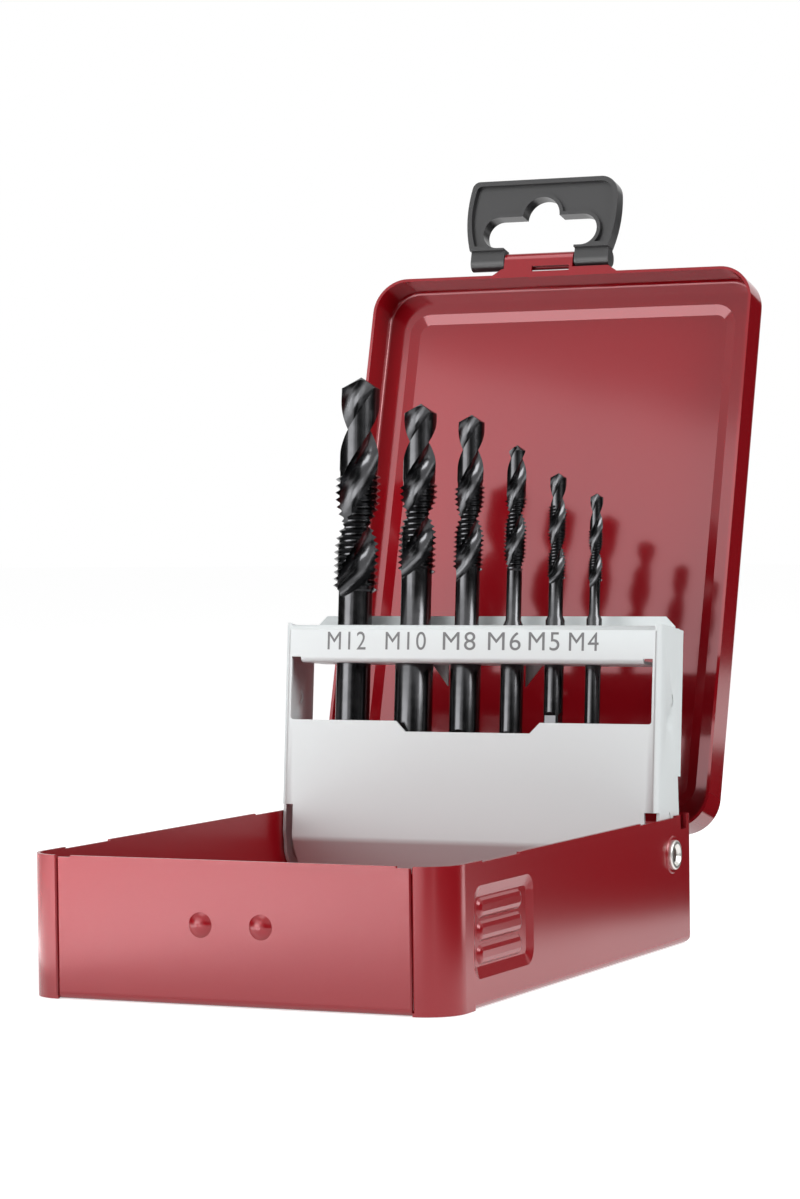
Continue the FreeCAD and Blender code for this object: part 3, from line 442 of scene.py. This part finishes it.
# ---------------------------------------------------------------- hinge pin and eyelets
# The pin is drawn steel wire. The two hollow rivets are nickel plated, and rolling their heads
# has left them finely marked.
wire_grey = (0.5, 0.5, 0.51)
nickel_grey = (0.66, 0.65, 0.62)
mark_size = 0.6 * mm
mark_polish = 0.06           # roughness that the marks take away
mark_haze = 0.08             # and add


def bare_metal(name, colour, roughness):
    material, nodes, links, shader = new_material(name)
    marks = noise(nodes, links, 1 / mark_size, detail=2)
    spread = mixed_value(nodes, links, marks, roughness - mark_polish, roughness + mark_haze)
    links.new(spread, shader.inputs["Roughness"])
    shader.inputs["Base Color"].default_value = (*colour, 1)
    shader.inputs["Metallic"].default_value = 1.0
    return material


dress("hinge_pin", bare_metal("pin_wire", wire_grey, roughness=0.35))
nickel = bare_metal("bright_nickel", nickel_grey, roughness=0.34)
dress("hinge_eyelet_left", nickel)
dress("hinge_eyelet_right", nickel)


# ---------------------------------------------------------------- hanger
# Moulded in black nylon with a fine spark-eroded grain. It snaps over the curl of the lid's
# front tab and swings on it.
def moulded_plastic(name, colour, roughness, grain_size, grain_depth):
    material, nodes, links, shader = new_material(name)
    grain = noise(nodes, links, 1 / grain_size, detail=4)
    skin = relief(nodes, links, grain, grain_depth, strength=0.5)
    links.new(skin, shader.inputs["Normal"])
    shader.inputs["Base Color"].default_value = (*colour, 1)
    shader.inputs["Roughness"].default_value = roughness
    return material


nylon_black = (0.022, 0.022, 0.023)
dress("hanger", moulded_plastic("black_nylon", nylon_black, roughness=0.3, grain_size=0.4 * mm,
                                grain_depth=0.04 * mm))


# ---------------------------------------------------------------- bits
# Each bit is ground from one bar of high-speed steel and blackened. A twist drill leads, a
# tap with its cut thread follows, and both share two flutes that run out in the neck. Below
# them a plain shank ends in a square for the wrench.
oxide_black = (0.05, 0.051, 0.054)
worn_black = (0.10, 0.10, 0.104)
patina_scale = 420           # patches to the metre
bit_steel, nodes, links, shader = new_material("black_oxide_steel")
patina = noise(nodes, links, patina_scale, detail=5)
links.new(mixed_colour(nodes, links, patina, oxide_black, worn_black), shader.inputs["Base Color"])
links.new(mixed_value(nodes, links, patina, low=0.16, high=0.27), shader.inputs["Roughness"])
shader.inputs["Metallic"].default_value = 1.0

row_ahead = 1.05 * mm        # the row of bits ahead of the pivot
front_turn = math.radians(-90 + 24)  # where a flute looks forward, seen from above
web_share = 0.24             # web at the flutes' roots, per drill radius
flute_degrees = 104          # what each flute takes of the thread's circle
flute_points = 13            # points along a flute's hollow
flute_steps = 64             # per turn
flute_run_out = 1.3          # its length, per thread radius
thread_depth = 0.61          # per pitch
thread_steps = 40            # per turn
ridge_half = 0.49            # half the ridge's width, per pitch
ridge_sunk = 0.25            # part of the ridge in the bar, per height
cone_length = 2.2            # per step in radius
bar_steps = 64               # round the bar
bar_chamfer = 0.4 * mm
undercut = 0.5 * mm          # from the neck up to the thread's root
overrun = 1 * mm             # a cutter past the bar's end
cutter_out = 2               # a cutter's outer corners, per flute mouth
flat_web = 0.02              # what a point's tip keeps, per drill radius
point_half_angle = math.radians(59)
square_share = 0.8           # square across its flats, per shank diameter
square_slope = 0.6           # how it runs out upwards, per shank radius
clear_of_thread = 1.6        # per thread radius
bit_sizes = {                # in mm
    "bit_m12": {"foot": 13.2, "length": 110, "drill": 10.2, "thread": 12, "pitch": 1.75,
                "neck": 9, "shank": 9, "tang": 11, "thread_from": 24.5, "thread_to": 56.2,
                "flutes_to": 59.6, "shank_from": 64, "lead": 50, "facing": 1.6},
    "bit_m10": {"foot": 15.8, "length": 100, "drill": 8.5, "thread": 10, "pitch": 1.5,
                "neck": 8, "shank": 10, "tang": 11, "thread_from": 20.0, "thread_to": 44.1,
                "flutes_to": 46.9, "shank_from": 60, "lead": 38.3, "facing": 0.5},
    "bit_m8": {"foot": 22.6, "length": 90, "drill": 6.8, "thread": 8, "pitch": 1.25,
               "neck": 6.3, "shank": 8, "tang": 6.6, "thread_from": 17.3, "thread_to": 40.3,
               "flutes_to": 44.5, "shank_from": 56.5, "lead": 35.5, "facing": 0.3},
    "bit_m6": {"foot": 24.4, "length": 80, "drill": 5, "thread": 6, "pitch": 1,
               "neck": 4, "shank": 6, "tang": 4.9, "thread_from": 13.0, "thread_to": 32.1,
               "flutes_to": 34.0, "shank_from": 47.5, "lead": 28.4, "facing": 10.4},
    "bit_m5": {"foot": 27.0, "length": 70, "drill": 4.2, "thread": 5, "pitch": 0.8,
               "neck": 3.8, "shank": 5, "tang": 7.6, "thread_from": 8.0, "thread_to": 27.0,
               "flutes_to": 29.2, "shank_from": 38.0, "lead": 25.4, "facing": 12.6},
    "bit_m4": {"foot": 28.6, "length": 63, "drill": 3.3, "thread": 4, "pitch": 0.7,
               "neck": 2.8, "shank": 4, "tang": 3.5, "thread_from": 9.2, "thread_to": 22.2,
               "flutes_to": 24.8, "shank_from": 32.3, "lead": 21.2, "facing": 10.0},
}


def turned_bar(name, outline, segments):
    """Round bar turned from the bottom up; the outline lists (radius, height)."""
    deselect_all()
    radius, height = outline[0]
    bpy.ops.mesh.primitive_circle_add(vertices=segments, radius=radius, fill_type="NGON",
                                      location=(0, 0, height))
    bar = bpy.context.object
    bar.name = name
    bpy.ops.object.transform_apply(location=True)
    bpy.ops.object.mode_set(mode="EDIT")
    bpy.ops.mesh.select_all(action="SELECT")
    for next_radius, next_height in outline[1:]:
        rise = (0, 0, next_height - height)
        bpy.ops.mesh.extrude_region_move(TRANSFORM_OT_translate={"value": rise})
        ratio = next_radius / radius
        bpy.ops.transform.resize(value=(ratio, ratio, 1), center_override=(0, 0, next_height))
        radius, height = next_radius, next_height
    finish_mesh()
    return bar


def screwed(piece, turns, rise, steps):
    """Winds the piece's outline up the Z axis, right-handed."""
    winding = piece.modifiers.new("winding", "SCREW")
    winding.angle = math.tau * turns
    winding.screw_offset = rise
    winding.steps = steps
    winding.render_steps = steps
    winding.use_merge_vertices = False
    bpy.context.view_layer.objects.active = piece
    bpy.ops.object.modifier_apply(modifier=winding.name)


def close_ends():
    """Caps on the open ends of a wound outline, with the piece in edit mode."""
    bpy.ops.mesh.select_all(action="DESELECT")
    bpy.ops.mesh.select_non_manifold()
    bpy.ops.mesh.fill_holes(sides=0)


def flute_cutter(name, reach, web, lead, length, low, start_turn):
    """What the grinding wheel takes out of the bar: two opposite hollow flutes."""
    deselect_all()
    half = math.radians(flute_degrees) / 2
    mouth = reach * math.sin(half)
    sill = reach * math.cos(half)
    hollow = ((sill - web) ** 2 + mouth ** 2) / (2 * (sill - web))
    outline = []
    for step in range(flute_points):
        across = mouth * math.sin(math.pi * (step / (flute_points - 1) - 0.5))
        outline.append((web + hollow - math.sqrt(hollow ** 2 - across ** 2), across))
    outline += [(cutter_out * sill, cutter_out * mouth), (cutter_out * sill, -cutter_out * mouth)]
    bpy.ops.mesh.primitive_circle_add(vertices=len(outline), radius=reach, fill_type="NOTHING")
    cutter = bpy.context.object
    cutter.name = name
    for vertex, (x, y) in zip(cutter.data.vertices, outline):
        vertex.co = (x, y, 0)
    cutter.data.transform(Matrix.Translation((0, 0, low)) @ Matrix.Rotation(start_turn, 4, "Z"))
    screwed(cutter, length / lead, length, int(length / lead * flute_steps) + 2)
    run_out = flute_run_out * reach
    for vertex in cutter.data.vertices:
        short = (low + run_out - vertex.co.z) / run_out
        if short > 0:
            turn = start_turn + math.tau * (vertex.co.z - low) / lead
            lift = short ** 2 * (reach - web)
            vertex.co.x += lift * math.cos(turn)
            vertex.co.y += lift * math.sin(turn)
    bpy.ops.object.mode_set(mode="EDIT")
    close_ends()
    finish_mesh()
    bpy.ops.object.duplicate()
    opposite = bpy.context.object
    opposite.data.transform(Matrix.Rotation(math.pi, 4, "Z"))
    select_only(opposite, cutter)
    bpy.ops.object.join()
    return cutter


def thread_ridge(name, root, crest, pitch, low, high, form):
    """One sharp ridge wound from low to high, drawn in to the form's (radius, height) outline."""
    deselect_all()
    bpy.ops.mesh.primitive_circle_add(vertices=3, radius=pitch / 2, fill_type="NOTHING")
    ridge = bpy.context.object
    ridge.name = name
    buried = root - ridge_sunk * (crest - root)
    corners = [(buried, -ridge_half * pitch), (crest, 0.0), (buried, ridge_half * pitch)]
    for vertex, (radius, height) in zip(ridge.data.vertices, corners):
        vertex.co = (radius, 0, low + height)
    turns = (high - low) / pitch
    screwed(ridge, turns, high - low, int(turns * thread_steps))
    for vertex in ridge.data.vertices:
        radius = vertex.co.xy.length
        if radius > root:
            for (r0, z0), (r1, z1) in zip(form, form[1:]):
                if z0 <= vertex.co.z <= z1:
                    allowed = r0 + (r1 - r0) * (vertex.co.z - z0) / (z1 - z0)
                    vertex.co.xy *= min(1.0, allowed / radius)
    bpy.ops.object.mode_set(mode="EDIT")
    close_ends()
    finish_mesh()
    return ridge


def wrench_square(name, r_shank, r_thread, tang, length):
    """Four-sided form that the bar is trimmed to; over the tang it opens clear of the bar."""
    corner = square_share * r_shank * math.sqrt(2)
    clear = clear_of_thread * r_thread
    square = turned_bar(name, [(corner, -overrun), (corner, tang),
                               (clear, tang + square_slope * r_shank),
                               (clear, length + overrun)], 4)
    square.data.transform(Matrix.Rotation(math.pi / 4, 4, "Z"))
    return square


def combination_bit(node, foot, length, drill, thread, pitch, neck, shank, tang,
                    thread_from, thread_to, flutes_to, shank_from, lead, facing):
    """Foot is the lower end over the pivot, and tang is the square's length. Every from and to
    is measured from the tip, and so is facing, where a flute first looks forward."""
    r_drill, r_thread, r_neck, r_shank = drill / 2, thread / 2, neck / 2, shank / 2
    r_root = r_thread - thread_depth * pitch
    point = r_drill / math.tan(point_half_angle)
    thread_low = length - thread_to
    thread_high = length - thread_from
    shoulder = length - shank_from
    taper = cone_length * (r_thread - r_drill)
    start_turn = front_turn - math.tau * (flutes_to - facing) / lead
    cutter = flute_cutter(node + "_flutes", r_thread, web_share * r_drill, lead,
                          flutes_to + overrun, length - flutes_to, start_turn)
    outline = [(r_shank - bar_chamfer, 0), (r_shank, bar_chamfer), (r_shank, shoulder)]
    if shank > neck:
        outline.append((r_neck, shoulder + cone_length * (r_shank - r_neck)))
    outline += [(r_neck, thread_low - undercut), (r_root, thread_low),
                (r_root, thread_high - taper), (min(r_root, r_drill), thread_high - taper / 2),
                (r_drill, thread_high), (r_drill, length - point),
                (flat_web * r_drill, length)]
    core = turned_bar(node + "_bar", outline, bar_steps)
    form = [(r_neck, thread_low - pitch), (r_thread, thread_low),
            (r_thread, thread_high - taper), (r_drill, thread_high)]
    ridge = thread_ridge(node + "_ridge", r_root, r_thread, pitch, thread_low,
                         thread_high - pitch, form)
    square = wrench_square(node + "_square", r_shank, r_thread, tang, length)
    trimmed(core, square, "INTERSECT")
    trimmed(core, cutter, "DIFFERENCE")
    trimmed(ridge, cutter, "DIFFERENCE")
    select_only(ridge, core)
    bpy.ops.object.join()
    discard(cutter, square)
    core.name = node + "_ground"
    across = (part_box(node)[0].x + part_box(node)[1].x) / 2
    core.data.transform(lean_back @ Matrix.Translation((across, -row_ahead, foot)))
    core.data.materials.append(bit_steel)
    select_only(core)
    bpy.ops.object.shade_smooth_by_angle(angle=crease)
    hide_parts(node)
    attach(core, node)


for node, sizes in bit_sizes.items():
    combination_bit(node, **{name: size * mm for name, size in sizes.items()})


# ---------------------------------------------------------------- size marks
# The thread sizes are screen printed in grey along the top of the holder's panel, each mark
# in front of its bit.
ink_grey = (0.10, 0.10, 0.105)
thin_ink_grey = (0.17, 0.17, 0.175)
ink_roughness = 0.5
weave_scale = 3000           # meshes of the screen to the metre
mark_ink, nodes, links, shader = new_material("grey_ink")
weave = noise(nodes, links, weave_scale, detail=2)
links.new(mixed_colour(nodes, links, weave, ink_grey, thin_ink_grey), shader.inputs["Base Color"])
shader.inputs["Roughness"].default_value = ink_roughness

mark_height = 4.7 * mm
mark_low = 50.9 * mm         # over the pivot
ink_film = 0.03 * mm
letter_spacing = 1.15
letter_steps = 6
mark_ends = {                # left and right end of each mark, in mm from the middle
    "M12": (-40.3, -29.3), "M10": (-23.6, -12.1), "M8": (-7.3, 1.9),
    "M6": (5.4, 14.5), "M5": (16.7, 25.2), "M4": (27.8, 35.9),
}
for words, (left, right) in mark_ends.items():
    deselect_all()
    bpy.ops.object.text_add(location=(0, 0, 0))
    mark = bpy.context.object
    mark.data.body = words
    mark.data.extrude = ink_film / 2
    mark.data.space_character = letter_spacing
    mark.data.resolution_u = letter_steps
    bpy.ops.object.convert(target="MESH")
    mark.name = "mark_" + words
    xs = [vertex.co.x for vertex in mark.data.vertices]
    ys = [vertex.co.y for vertex in mark.data.vertices]
    wide = (right - left) * mm / (max(xs) - min(xs))
    tall = mark_height / (max(ys) - min(ys))
    to_corner = Matrix.Translation((-min(xs), -min(ys), 0))
    mark.data.transform(Matrix.Diagonal((wide, tall, 1, 1)) @ to_corner)
    on_panel = Matrix.Translation((left * mm, -panel_ahead - ink_film / 2, mark_low))
    mark.data.transform(lean_back @ on_panel @ Matrix.Rotation(math.pi / 2, 4, "X"))
    mark.data.materials.append(mark_ink)
    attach(mark, "holder")
